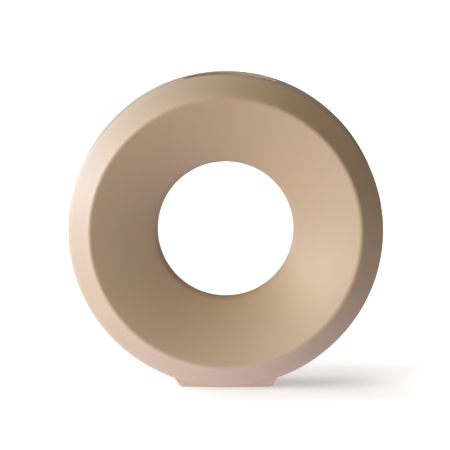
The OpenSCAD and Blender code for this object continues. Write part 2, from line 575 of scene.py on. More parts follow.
@dataclass
class RingSkin:
    """A skin that lies over the ring, or lines its hollow, with windows for the mouth and the foot.

    Its even grid has a closed loop of the section in each column. The pitches are how closely the
    columns lie, as shares of the section's step.
    """

    section: RingSection
    centre_z: float
    mouth: MouthOval
    inset: float
    round_r: float
    step: float
    wall: float = 0.0
    lip_r: float = 0.0
    foot: FootForm | None = None
    column_pitch: float = 1.6
    window_pitch: float = 0.6
    foot_bunching: float = 0.6
    edge_gap: float = 0.2 * MM
    shoulder: float = 0.5 * MM
    patch_rings: int = 8
    patch_ease: float = 0.35
    lip_rings: int = 8
    wall_rings: int = 5
    skirt_ease: float = 0.4
    eased_rows: int = 2
    ease_rounds: int = 4
    ease_share: float = 0.5
    columns: np.ndarray = field(init=False)
    grid: list[list[int]] = field(init=False)

    def make(self) -> Skin:
        """Build the skin's outer side.

        Returns:
            The skin, open round the mouth and under the foot.
        """
        skin = Skin()
        band_y = self.section.edge_c(self.inset, self.round_r)[1]
        mouth_y = min(self.mouth.window_h, band_y - self.edge_gap)
        foot_y = self.foot.depth / 2 if self.foot else None
        half, rows = self.section.outline(self.inset, self.round_r, self.step, mouth_y, foot_y)
        loop = np.vstack([half * [1, -1], half[::-1][1:-1]])
        self.columns, spans = self._columns()
        self.grid = []
        for a in self.columns:
            ring = [loop[:, 0] * math.cos(a), loop[:, 1], self.centre_z + loop[:, 0] * math.sin(a)]
            self.grid.append(skin.add(np.stack(ring, 1)))
        last = 2 * (len(half) - 1)
        windows = {window: (span, (rows[window], last - rows[window])) for window, span in spans.items()}
        self._cover(skin, list(windows.values()))
        self._mouth_patch(skin, self._window_loop(windows[Window.MOUTH]))
        if self.foot:
            self._foot_skirt(skin, windows[Window.FOOT])
        return skin.trimmed()

    def _columns(self) -> tuple[np.ndarray, dict[Window, Span]]:
        """Place the columns round the ring, closer over the windows, and closest at the foot's ends.

        Returns:
            The angle of each column, and the first and last column of each window.
        """
        mouth_at, low = QUARTER - self.mouth.turn, 3 * QUARTER
        right, left = mouth_at - self.mouth.window, mouth_at + self.mouth.window
        if self.foot:
            top = self.foot.end_path(self.section.ring_r, self.centre_z, 0.0, self.foot.dry_h)[0]
            half = math.atan2(top[0], self.centre_z - top[1])
            rest = [(None, left, low - half), (Window.FOOT, low - half, low + half),
                    (None, low + half, right + 2 * math.pi)]
        else:
            rest = [(None, left, right + 2 * math.pi)]
        angles, spans, count = [], {}, 0
        for window, start, end in [(Window.MOUTH, right, left), *rest]:
            pitch = self.step * self.column_pitch / self.section.ring_r
            n = 2 * round((end - start) / (self.window_pitch if window else 1.0) / pitch / 2)
            bunching = self.foot_bunching if window is Window.FOOT else 0.0
            t = np.arange(n) / n * 2 - 1
            t = (1 - bunching) * t + bunching * np.sin(t * QUARTER)
            angles.append(start + (end - start) * (t + 1) / 2)
            if window:
                spans[window] = (count, count + n)
            count += n
        return np.concatenate(angles), spans

    def _cover(self, skin: Skin, windows: list[Patch]) -> None:
        """Put faces on the grid, all but the windows.

        Args:
            skin: The skin that gets them.
            windows: The columns and rows that stay open.
        """
        columns, rows = len(self.grid), len(self.grid[0])
        for c, r in product(range(columns), range(rows)):
            if any(c0 <= c < c1 and r0 <= r < r1 for (c0, c1), (r0, r1) in windows):
                continue
            here, beside, s = self.grid[c], self.grid[(c + 1) % columns], (r + 1) % rows
            skin.faces.append((here[r], here[s], beside[s], beside[r]))

    @staticmethod
    def _window_cells(window: Patch) -> list[tuple[int, int]]:
        """Return the column and row of each point round a window."""
        (c0, c1), (r0, r1) = window
        return ([(c0, r) for r in range(r0, r1)] + [(c, r1) for c in range(c0, c1)]
                + [(c1, r) for r in range(r1, r0, -1)] + [(c, r0) for c in range(c1, c0, -1)])

    def _window_loop(self, window: Patch) -> list[int]:
        """Return the numbers of the points round a window, in the faces' own direction."""
        return [self.grid[c % len(self.grid)][r] for c, r in self._window_cells(window)]

    def _mouth_patch(self, skin: Skin, loop: list[int]) -> None:
        """Fill the mouth's window up to its lip, round the lip over and run down the cut wall.

        Args:
            skin: The skin that gets the patch.
            loop: Numbers of the points round the window.
        """
        rim = np.array([skin.points[i] for i in loop])
        x, y = self.mouth.across(rim[:, 0], rim[:, 2] - self.centre_z), rim[:, 1]
        edge, out = self.mouth.edge(np.arctan2(y / np.abs(y).max(), x / np.abs(x).max()))
        shoulder = edge + out * (self.lip_r + self.shoulder)
        levels = []
        t = np.linspace(0, 1, self.patch_rings + 1)[1:]
        for share in smooth(t) * self.patch_ease + t * (1 - self.patch_ease):
            levels.append((np.stack([x, y], 1) * (1 - share) + shoulder * share, 0.0))
        if self.lip_r:
            for a in np.linspace(0, QUARTER, self.lip_rings):
                drop = self.lip_r * (1 - math.cos(a))
                levels.append((edge + out * self.lip_r * (1 - math.sin(a)), drop))
            drops = np.linspace(self.lip_r, self.wall, self.wall_rings + 1)[1:]
            levels += [(edge, drop) for drop in drops]
        else:
            levels.append((edge, 0.0))
        skin.bridge_all([loop] + [skin.add(self._placed(at, drop)) for at, drop in levels])

    def _placed(self, at: np.ndarray, drop: float) -> np.ndarray:
        """Put points that lie in the mouth's own upright frame onto the ring.

        Args:
            at: Distance to the right of the mouth's middle, and depth from the middle plane, in rows.
            drop: How far below the skin's outer side they lie.

        Returns:
            The points in the vase's frame.
        """
        across, y = at.T
        r = self.section.ring_r - self.inset - drop
        x, z = self.mouth.upright(across, np.sqrt(r**2 - across**2))
        return np.stack([x, y, self.centre_z + z], 1)

    def _foot_skirt(self, skin: Skin, window: Patch) -> None:
        """Run the skin down from the foot's window to the dry line.

        Args:
            skin: The skin that gets the skirt.
            window: The foot's columns and rows.
        """
        foot, loop = self.foot, self._window_loop(window)
        top = np.array([skin.points[i] for i in loop])
        angles = np.array([self.columns[c % len(self.columns)] for c, _ in self._window_cells(window)])
        u = np.cos(angles) / abs(math.cos(self.columns[window[0][0]]))
        path = foot.end_path(self.section.ring_r, self.centre_z, 0.0, foot.dry_h)
        levels = np.linspace(0, 1, SKIRT_LEVELS + 1)[1:]
        ends = resampled(path, (1 - self.skirt_ease) * levels + self.skirt_ease * levels**2)
        half_y = foot.depth / 2
        rings = [loop]
        for t, (x_end, z_end) in zip(levels, ends):
            fall = (path[0, 1] - z_end) / (path[0, 1] - foot.dry_h)
            x = u * x_end + (top[:, 0] - u * path[0, 0]) * (1 - t) ** 2
            y = np.clip(top[:, 1], -half_y, half_y)
            z = top[:, 2] + (foot.dry_h - top[:, 2]) * fall
            rings.append(skin.add(foot.level(x, y, z, x_end, half_y, fall)))
        skin.bridge_all(rings)
        self._ease_crease(skin, window, rings[1])

    def _ease_crease(self, skin: Skin, window: Patch, first: list[int]) -> None:
        """Soften the line where the foot's front and back meet the ring.

        Args:
            skin: The skin to soften.
            window: The foot's columns and rows.
            first: Numbers of the skirt's first loop.
        """
        (c0, c1), (r0, r1) = window
        rows = [r for k in range(1, self.eased_rows + 1) for r in (r0 - k, r1 + k)]
        beside = {self.grid[c % len(self.grid)][r] for c, r in product(range(c0 - 1, c1 + 2), rows)}
        chosen = sorted(beside | set(self._window_loop(window)) | set(first))
        skin.soften(chosen, self.ease_rounds, self.ease_share)


def waves(points: np.ndarray, seed: int, count: int = 14, shortest: float = 45 * MM,
          longest: float = 120 * MM, crest: float = 1.6) -> np.ndarray:
    """Wander smoothly between -1 and 1 over a surface.

    Args:
        points: The surface's points, one row each.
        seed: Number that picks the waves.
        count: How many waves are added up.
        shortest: Length of the shortest wave.
        longest: Length of the longest wave.
        crest: Height that counts as 1, where most of the waves agree.

    Returns:
        One value for each point.
    """
    rng = np.random.default_rng(seed)
    heading = rng.normal(size=(count, 3))
    heading /= np.linalg.norm(heading, axis=1, keepdims=True)
    turns = 2 * math.pi / rng.uniform(shortest, longest, count)
    phase = rng.uniform(0, 2 * math.pi, count)
    total = np.sin(points @ (heading * turns[:, None]).T + phase).sum(axis=1)
    return np.clip(total / math.sqrt(count) / crest, -1, 1)


def add_node(tree: bpy.types.NodeTree, kind: str, inputs: dict[str | int, Value] | None = None,
             **settings: object) -> bpy.types.Node:
    """Add one shader node.

    Args:
        tree: The tree that gets it.
        kind: The node's type, without the leading ShaderNode.
        inputs: Value or incoming socket for each named or numbered input.
        settings: The node's own options.

    Returns:
        The new node.
    """
    node = tree.nodes.new("ShaderNode" + kind)
    for name, value in settings.items():
        setattr(node, name, value)
    for name, value in (inputs or {}).items():
        if isinstance(value, bpy.types.NodeSocket):
            tree.links.new(value, node.inputs[name])
        else:
            node.inputs[name].default_value = value
    return node


def mixed(tree: bpy.types.NodeTree, share: Value, under: Value, over: Value) -> bpy.types.NodeSocket:
    """Lay one colour over another, by way of the Mix node's colour sockets, 6 and 7 in and 2 out.

    Args:
        tree: The tree that gets the node.
        share: How much of the upper colour shows, from 0 to 1.
        under: The lower colour.
        over: The upper colour.

    Returns:
        The socket with the mixed colour.
    """
    return add_node(tree, "Mix", {0: share, 6: under, 7: over}, data_type="RGBA").outputs[2]


def opaque(colour: Colour) -> tuple[float, ...]:
    """Return a colour with its alpha at one."""
    return (*colour, 1.0)


class Effects:
    """The surface effects that several finishes share, each a node group that is built once."""

    BROAD_SHARE = 0.22
    MID_TONE = 0.5

    @cached_property
    def ripple(self) -> bpy.types.NodeTree:
        """The fine skin of a surface, as a height from two sizes of noise.

        Returns:
            The node group.
        """
        tree, given = self._open("fine_ripple", {"Scale": 600.0, "Coarse": 0.5}, "Height")
        place = add_node(tree, "TexCoord").outputs["Object"]
        fine = add_node(tree, "TexNoise", {"Vector": place, "Scale": given["Scale"], "Detail": 2.0})
        wide = add_node(tree, "Math", {0: given["Scale"], 1: self.BROAD_SHARE}, operation="MULTIPLY")
        broad = add_node(tree, "TexNoise", {"Vector": place, "Scale": wide.outputs[0], "Detail": 1.0})
        both = add_node(tree, "Mix", {"Factor": given["Coarse"], "A": fine.outputs[0],
                                      "B": broad.outputs[0]})
        return self._close(tree, both.outputs["Result"])

    @cached_property
    def clouds(self) -> bpy.types.NodeTree:
        """Slow changes of tone over a surface.

        Returns:
            The node group.
        """
        tree, given = self._open("tone_clouds", {"Scale": 18.0, "Contrast": 1.0}, "Tone")
        place = add_node(tree, "TexCoord").outputs["Object"]
        noise = add_node(tree, "TexNoise", {"Vector": place, "Scale": given["Scale"], "Detail": 4.0,
                                            "Roughness": 0.55})
        centred = add_node(tree, "Math", {0: noise.outputs[0], 1: self.MID_TONE}, operation="SUBTRACT")
        spread = add_node(tree, "Math", {0: centred.outputs[0], 1: given["Contrast"], 2: self.MID_TONE},
                          operation="MULTIPLY_ADD", use_clamp=True)
        return self._close(tree, spread.outputs[0])

    @cached_property
    def specks(self) -> bpy.types.NodeTree:
        """Scattered small round specks of mixed sizes.

        Returns:
            The node group.
        """
        tree, given = self._open("fine_specks", {"Scale": 220.0, "Size": 0.12, "Share": 0.15}, "Speck")
        place = add_node(tree, "TexCoord").outputs["Object"]
        cells = add_node(tree, "TexVoronoi", {"Vector": place, "Scale": given["Scale"]})
        luck = add_node(tree, "SeparateColor", {0: cells.outputs["Color"]})
        chosen = add_node(tree, "Math", {0: luck.outputs[0], 1: given["Share"]}, operation="LESS_THAN")
        size = add_node(tree, "Math", {0: luck.outputs[1], 1: given["Size"]}, operation="MULTIPLY")
        soft = add_node(tree, "MapRange", {"Value": cells.outputs["Distance"],
                                           "From Min": size.outputs[0], "From Max": 0.0,
                                           "To Min": 0.0, "To Max": 1.0},
                        interpolation_type="SMOOTHSTEP")
        spot = add_node(tree, "Math", {0: soft.outputs["Result"], 1: chosen.outputs[0]},
                        operation="MULTIPLY")
        return self._close(tree, spot.outputs[0])

    @staticmethod
    def _open(name: str, inputs: dict[str, float], output: str
              ) -> tuple[bpy.types.NodeTree, bpy.types.NodeOutputs]:
        """Start a new group.

        Args:
            name: Name of the group.
            inputs: Name and usual value of each input.
            output: Name of the one output.

        Returns:
            The group's tree, and the sockets that its inputs come in by.
        """
        tree = bpy.data.node_groups.new(name, "ShaderNodeTree")
        for label, value in inputs.items():
            socket = tree.interface.new_socket(label, in_out="INPUT", socket_type="NodeSocketFloat")
            socket.default_value = value
        tree.interface.new_socket(output, in_out="OUTPUT", socket_type="NodeSocketFloat")
        return tree, tree.nodes.new("NodeGroupInput").outputs

    @staticmethod
    def _close(tree: bpy.types.NodeTree, value: bpy.types.NodeSocket) -> bpy.types.NodeTree:
        """Send a value out of a group and return the group."""
        tree.links.new(value, tree.nodes.new("NodeGroupOutput").inputs[0])
        return tree


@dataclass(frozen=True)
class Finish:
    """One procedural surface: base colour with slow clouds and small specks, fine ripple, gloss."""

    slot: Slot
    colour: Colour
    cloud_colour: Colour
    speck_colour: Colour
    roughness: float
    roughness_spread: float
    cloud_scale: float
    cloud_contrast: float
    speck_scale: float
    speck_size: float
    speck_share: float
    ripple_scale: float
    ripple_coarse: float
    ripple_depth: float
    specular: float = 0.5
    thin_and_highlight_colour: Colour | None = None
    thin_and_highlight_amount: float = 0.0

    def material(self, effects: Effects) -> bpy.types.Material:
        """Build the material.

        Args:
            effects: The shared node groups.

        Returns:
            The finished material.
        """
        made = bpy.data.materials.new(f"{self.slot.value}_finish")
        made.use_nodes = True
        tree = made.node_tree
        clouds = add_node(tree, "Group", {"Scale": self.cloud_scale, "Contrast": self.cloud_contrast},
                          node_tree=effects.clouds).outputs["Tone"]
        specks = add_node(tree, "Group", {"Scale": self.speck_scale, "Size": self.speck_size,
                                          "Share": self.speck_share},
                          node_tree=effects.specks).outputs["Speck"]
        ripple = add_node(tree, "Group", {"Scale": self.ripple_scale, "Coarse": self.ripple_coarse},
                          node_tree=effects.ripple).outputs["Height"]
        colour = mixed(tree, clouds, opaque(self.colour), opaque(self.cloud_colour))
        # Painted highlight, partly thin glaze: a lighter colour on the ridges, the band's edges and the
        # lip, where the rounded edges catch the light.
        if self.thin_and_highlight_colour:
            thin = add_node(tree, "Attribute", attribute_name="thin_glaze_and_highlight")
            share = add_node(tree, "Math", {0: thin.outputs["Fac"], 1: self.thin_and_highlight_amount},
                             operation="MULTIPLY")
            colour = mixed(tree, share.outputs[0], colour, opaque(self.thin_and_highlight_colour))
        colour = mixed(tree, specks, colour, opaque(self.speck_colour))
        rough = add_node(tree, "MapRange", {"Value": clouds,
                                            "To Min": self.roughness - self.roughness_spread,
                                            "To Max": self.roughness + self.roughness_spread})
        bump = add_node(tree, "Bump", {"Strength": 1.0, "Distance": self.ripple_depth, "Height": ripple})
        shader = tree.nodes["Principled BSDF"]
        tree.links.new(colour, shader.inputs["Base Color"])
        tree.links.new(rough.outputs["Result"], shader.inputs["Roughness"])
        tree.links.new(bump.outputs["Normal"], shader.inputs["Normal"])
        shader.inputs["Specular IOR Level"].default_value = self.specular
        return made


# The matte glaze's lighter colour for its thin places is partly a painted highlight on the ridges, the
# band's edges and the lip.
MATTE_GLAZE = Finish(
    slot=Slot.MATTE_GLAZE, colour=(0.62, 0.47, 0.355), cloud_colour=(0.60, 0.45, 0.335),
    speck_colour=(0.36, 0.22, 0.13), roughness=0.46, roughness_spread=0.03,
    cloud_scale=16.0, cloud_contrast=1.6, speck_scale=150.0, speck_size=0.10, speck_share=0.05,
    ripple_scale=520.0, ripple_coarse=0.55, ripple_depth=0.035 * MM,
    thin_and_highlight_colour=(0.70, 0.53, 0.41), thin_and_highlight_amount=0.25)
# The lining is darker and browner than the outer glaze: painted shade for the inside of the hollow, seen
# through the mouth.
LINING_GLAZE = Finish(
    slot=Slot.LINING_GLAZE, colour=(0.50, 0.37, 0.27), cloud_colour=(0.44, 0.31, 0.215),
    speck_colour=(0.26, 0.15, 0.09), roughness=0.34, roughness_spread=0.05,
    cloud_scale=22.0, cloud_contrast=2.0, speck_scale=120.0, speck_size=0.16, speck_share=0.10,
    ripple_scale=260.0, ripple_coarse=0.7, ripple_depth=0.06 * MM)
FIRED_CLAY = Finish(
    slot=Slot.FIRED_CLAY, colour=(0.60, 0.45, 0.34), cloud_colour=(0.53, 0.385, 0.285),
    speck_colour=(0.28, 0.18, 0.12), roughness=0.86, roughness_spread=0.05,
    cloud_scale=45.0, cloud_contrast=2.2, speck_scale=420.0, speck_size=0.30, speck_share=0.18,
    ripple_scale=1900.0, ripple_coarse=0.35, ripple_depth=0.09 * MM, specular=0.3)
JOINT_SLIP = Finish(
    slot=Slot.JOINT_SLIP, colour=(0.55, 0.40, 0.30), cloud_colour=(0.49, 0.35, 0.26),
    speck_colour=(0.33, 0.22, 0.15), roughness=0.90, roughness_spread=0.04,
    cloud_scale=60.0, cloud_contrast=1.8, speck_scale=600.0, speck_size=0.20, speck_share=0.06,
    ripple_scale=1300.0, ripple_coarse=0.6, ripple_depth=0.05 * MM, specular=0.3)
FINISHES = (MATTE_GLAZE, LINING_GLAZE, FIRED_CLAY, JOINT_SLIP)


@dataclass
class GlazedRing:
    """The matte coat over the outside and the glaze lining of the hollow.

    The coat wanders by less than its own thickness, except in the calm strips round the mouth and at the
    foot. It sags a little over the mouth. Its colour is lighter on the ridges, the band's edges and the
    lip, where the glaze runs thin and where a painted highlight stands in for the light those rounded
    edges catch.
    """

    section: RingSection
    mouth: MouthOval
    foot: FootForm
    centre_z: float
    coat: float = 0.5 * MM
    wall: float = 6.5 * MM
    lining: float = 0.4 * MM
    round_r: float = 4 * MM
    lip_r: float = 0.85 * MM
    coat_step: float = 2 * MM
    lining_step: float = 3 * MM
    inner_share: float = 0.9
    wander: float = 0.28 * MM
    wander_seed: int = 11
    calm_w: float = 12 * MM
    calm_z: float = 12 * MM
    calm_fade: float = 20 * MM
    sag: float = 0.4 * MM
    sag_reach: float = 0.6
    sag_depth: float = 5 * MM
    sag_fade: float = 4 * MM
    thin_and_highlight_w: float = 3 * MM
    thin_and_highlight_h: float = 1.5 * MM
    lip_depth: float = 2 * MM
    top_share: float = 0.8
    far_off: float = 1.0

    def coat_piece(self) -> bpy.types.Object:
        """Build the outer coat, with its lip, its foot skirt and the slight waviness of a poured glaze.

        Returns:
            The coat.
        """
        skin = RingSkin(self.section, self.centre_z, self.mouth, 0.0, self.round_r, self.coat_step,
                        self.wall, self.lip_r, self.foot).make()
        outside = np.array(skin.points)
        depth = 0.5 * self.wander * (1 + waves(outside, self.wander_seed))
        sink = depth * self._away_from_edges(outside)
        sag = self.sag * self._over_mouth(outside)
        skin.points = list(outside - sink[:, None] * skin.normals() - sag[:, None] * UP)
        # Marks the ridges, the band's edges and the lip for the lighter colour: thin glaze and a painted
        # highlight.
        skin.marks = self._thin_and_highlight_places(outside)
        skin.thicken(self.coat * self.inner_share)
        return skin.build("matte_glaze_coat")

    def lining_piece(self) -> bpy.types.Object:
        """Build the lining of the hollow.

        Returns:
            The lining.
        """
        skin = RingSkin(self.section, self.centre_z, self.mouth, self.wall, self.round_r,
                        self.lining_step).make()
        skin.thicken(self.lining)
        return skin.build("lining_coat")

    def _ring_place(self, points: np.ndarray) -> tuple[np.ndarray, np.ndarray]:
        """Return each point's radius from the hole's axis and its depth from the middle plane."""
        return np.hypot(points[:, 0], points[:, 2] - self.centre_z), np.abs(points[:, 1])

    def _mouth_place(self, points: np.ndarray) -> np.ndarray:
        """Measure how far outside the mouth's oval points lie.

        Args:
            points: The points, one row each.

        Returns:
            One distance for each point, which is a long way for all that aren't near the top.
        """
        x, y = self.mouth.across(points[:, 0], points[:, 2] - self.centre_z), points[:, 1]
        edge, _ = self.mouth.edge(np.arctan2(y / (self.mouth.depth / 2), x / (self.mouth.width / 2)))
        out = np.hypot(x, y) - np.hypot(edge[:, 0], edge[:, 1])
        near_top = points[:, 2] > self.centre_z + self.top_share * self.section.ring_r
        return np.where(near_top, out, self.far_off)

    def _away_from_edges(self, points: np.ndarray) -> np.ndarray:
        """Choose where the glaze wanders.

        Args:
            points: The points, one row each.

        Returns:
            0 round the mouth and at the foot, rising to 1 away from them.
        """
        off_mouth = smooth(self._mouth_place(points) / self.calm_w)
        off_foot = smooth((points[:, 2] - self.calm_z) / self.calm_fade)
        return off_mouth * off_foot * (1 - self._over_mouth(points))

    def _over_mouth(self, points: np.ndarray) -> np.ndarray:
        """Choose where the wall sank a little.

        Args:
            points: The points, one row each.

        Returns:
            1 on the band at the mouth's middle, falling to 0 away from it.
        """
        radius, _ = self._ring_place(points)
        along = np.abs(points[:, 0]) / (self.sag_reach * self.mouth.width)
        on_band = smooth((radius - self.section.ring_r + self.sag_depth) / self.sag_fade)
        return (1 - smooth(along)) * on_band * (points[:, 2] > self.centre_z)

    def _thin_and_highlight_places(self, points: np.ndarray) -> np.ndarray:
        """Choose where the colour is lightened, for thin glaze and a painted edge highlight.

        Args:
            points: The points, one row each.

        Returns:
            1 on the ridges, the band's edges and the lip, falling to 0 elsewhere.
        """
        radius, depth = self._ring_place(points)
        place = np.stack([radius, depth], 1)
        mark = np.zeros(len(points))
        for centre in (self.section.ridge_c(0.0, self.round_r), self.section.edge_c(0.0, self.round_r)):
            above = np.linalg.norm(place - centre, axis=1) - self.round_r
            beside = (place - centre) @ self.section.bevel_dir
            mark = np.maximum(mark, fading(beside / self.thin_and_highlight_w) * fading(above / self.thin_and_highlight_h))
        on_top = radius > self.section.ring_r - self.lip_depth
        return np.maximum(mark, fading(self._mouth_place(points) / self.thin_and_highlight_h) * on_top)


@dataclass
class FootBlock:
    """The low clay foot with its hollowed underside, rounded rest ring and seat under the ring."""

    form: FootForm
    section: RingSection
    centre_z: float
    coat: float = 0.5 * MM
    edge_round: float = 4 * MM
    seat_h: float = 4 * MM
    seat_r: float = 2 * MM
    seat_in: float = 2 * MM
    shoulder_at: float = 0.5
    shoulder_in: float = 1.2 * MM
    rest_w: float = 7 * MM
    hollow_h: float = 1.2 * MM
    hollow_r: float = 4 * MM
    bevel: float = 0.4 * MM
    bevel_rings: int = 5
    middle: float = 0.5
    side_ease: float = 0.5
    bunching: float = 0.5
    along: int = 36
    across: int = 20
    crease: float = math.radians(40)

    @property
    def half_y(self) -> float:
        """Half of the block's depth, inside the coat."""
        return self.form.depth / 2 - self.coat

    @cached_property
    def loop(self) -> tuple[np.ndarray, np.ndarray]:
        """A loop round a square of half-width one, closer at the corners, turning as seen from below.

        Returns:
            Its distances across and its depths.
        """
        a, b = self._side(self.along), self._side(self.across)
        u = np.concatenate([a, np.ones(self.across), -a, -np.ones(self.across)])
        v = np.concatenate([np.ones(self.along), -b, -np.ones(self.along), b])
        return u, v

    def _side(self, count: int) -> np.ndarray:
        """Place the points of one side of the loop.

        Args:
            count: How many points the side has.

        Returns:
            Their places, from -1 up to just before 1.
        """
        even = np.linspace(-1, 1, count + 1)
        bunched = np.sin(np.linspace(-QUARTER, QUARTER, count + 1))
        return (bunched * self.bunching + even * (1 - self.bunching))[:-1]

    def piece(self) -> bpy.types.Object:
        """Build the foot as one closed solid, from its seat down its sides and into its hollow.

        Returns:
            The foot.
        """
        skin = Skin()
        path = self.form.end_path(self.section.ring_r, self.centre_z, self.coat, 0.0)
        rings = self._seat(skin, path[0, 0])
        rings += self._sides(skin, path, np.array([skin.points[i] for i in rings[-1]])[:, 2])
        rings += self._underside(skin)
        skin.bridge_all(rings)
        skin.faces.append(tuple(reversed(rings[0])))
        skin.faces.append(tuple(rings[-1]))
        return skin.build("foot_block", self.crease)

    def _seat(self, skin: Skin, top_x: float) -> list[list[int]]:
        """Add the flat seat and the slopes that follow the ring's clay up to the foot's top edge.

        Args:
            skin: The skin that gets them.
            top_x: Half of the foot's width at its top edge.

        Returns:
            The loops' numbers, from the middle outwards.
        """
        u, v = self.loop
        clay_r = self.section.ring_r - self.coat
        seat_x = math.sqrt(clay_r**2 - (self.centre_z - self.seat_h) ** 2)
        middle_x, middle_y = self.middle * seat_x, self.middle * self.half_y
        rings = [self._level(skin, middle_x, middle_y, self.seat_h, self.seat_r),
                 self._level(skin, seat_x, self.half_y - self.seat_in, self.seat_h, self.seat_r)]
        for share, gap in ((self.shoulder_at, self.shoulder_in), (1.0, 0.0)):
            x = u * (seat_x + (top_x - seat_x) * share)
            y = v * (self.half_y - gap)
            y = self.form.drawn_in(x, y, self._under_ring(x, y))
            rings.append(skin.add(np.stack([x, y, self._under_ring(x, y)], 1)))
        return rings

    def _sides(self, skin: Skin, path: np.ndarray, top_z: np.ndarray) -> list[list[int]]:
        """Add the sides, down to the rounded outer edge of the rest ring.

        Args:
            skin: The skin that gets them.
            path: Points of x and z down one end of the foot.
            top_z: Height of each point of the top edge.

        Returns:
            The loops' numbers, from the top down.
        """
        u, v = self.loop
        t = np.linspace(0, 1, SKIRT_LEVELS + 1)[1:]
        rings = []
        for x_end, z_end in resampled(path, (1 - self.side_ease) * t + self.side_ease * t * (2 - t)):
            fall = (path[0, 1] - z_end) / path[0, 1]
            z = top_z * (1 - fall)
            tuck = self.bevel - np.sqrt(self.bevel**2 - np.clip(self.bevel - z, 0, self.bevel) ** 2)
            level = self.form.level(u * x_end, v * self.half_y, z, x_end, self.half_y, fall)
            level[:, 1] *= 1 - tuck / self.half_y
            rings.append(skin.add(level))
        return rings

    def _underside(self, skin: Skin) -> list[list[int]]:
        """Add the rest ring's rounded inner edge and the shallow hollow.

        Args:
            skin: The skin that gets them.

        Returns:
            The loops' numbers, from the rest ring to the hollow's middle.
        """
        half_x = self.form.width / 2 - self.coat / math.cos(self.form.draft) - self.rest_w
        half_y = self.half_y - self.rest_w
        turns = [(self.bevel * (1 - math.sin(a)), self.bevel * (1 - math.cos(a)))
                 for a in np.linspace(0, QUARTER, self.bevel_rings)]
        rings = [self._level(skin, half_x + grow, half_y + grow, rise, self.hollow_r + grow)
                 for grow, rise in turns]
        rings += [self._level(skin, half_x - shrink, half_y - shrink, self.hollow_h - fall,
                              self.hollow_r - shrink) for fall, shrink in turns]
        middle_x, middle_y = self.middle * half_x, self.middle * half_y
        return rings + [self._level(skin, middle_x, middle_y, self.hollow_h, self.seat_r)]

    def _under_ring(self, x: np.ndarray, y: np.ndarray) -> np.ndarray:
        """Follow the ring's clay over the foot.

        Args:
            x: Distances across.
            y: Depths from the middle plane.

        Returns:
            The height of the clay's surface at each place.
        """
        edge = self.section.edge_c(0.0, self.edge_round)
        past = np.clip(np.abs(y) - edge[1], 0, None)
        r = edge[0] + np.sqrt((self.edge_round - self.coat) ** 2 - past**2)
        return self.centre_z - np.sqrt(r**2 - x**2)

    def _level(self, skin: Skin, half_x: float, half_y: float, z: float, r: float) -> list[int]:
        """Add one flat rounded rectangle of points.

        Args:
            skin: The skin that gets them.
            half_x: Half of its width.
            half_y: Half of its depth.
            z: Its height.
            r: Radius of its corners.

        Returns:
            The points' numbers.
        """
        u, v = self.loop
        x, y = rounded(u * half_x, v * half_y, half_x, half_y, r)
        return skin.add(np.stack([x, y, np.full_like(x, z)], 1))


class Lit(Enum):
    """What a studio light falls on."""

    VASE = "lit_vase"
    FLOOR = "lit_floor"


@dataclass(frozen=True)
class SoftLight:
    """One soft light, as wide as a large diffuser seen from the vase.

    The azimuth turns from the camera's side to the right, so -90 is the left.
    """

    name: str
    lit: Lit
    azimuth: float
    elevation: float
    spread: float
    strength: float
    colour: Colour = (1.0, 1.0, 1.0)
    away: float = 2.0

    def place(self, receivers: bpy.types.Collection) -> None:
        """Build the light.

        Args:
            receivers: The objects that it lights.
        """
        a, e = math.radians(self.azimuth), math.radians(self.elevation)
        back = Vector((math.sin(a) * math.cos(e), -math.cos(a) * math.cos(e), math.sin(e)))
        light = bpy.data.lights.new(self.name, "SUN")
        light.angle = math.radians(self.spread)
        light.energy = math.pi * self.strength
        light.color = self.colour
        lamp = bpy.data.objects.new(self.name, light)
        lamp.location = self.away * back
        lamp.rotation_euler = back.to_track_quat("Z", "Y").to_euler()
        lamp.light_linking.receiver_collection = receivers
        bpy.context.scene.collection.objects.link(lamp)


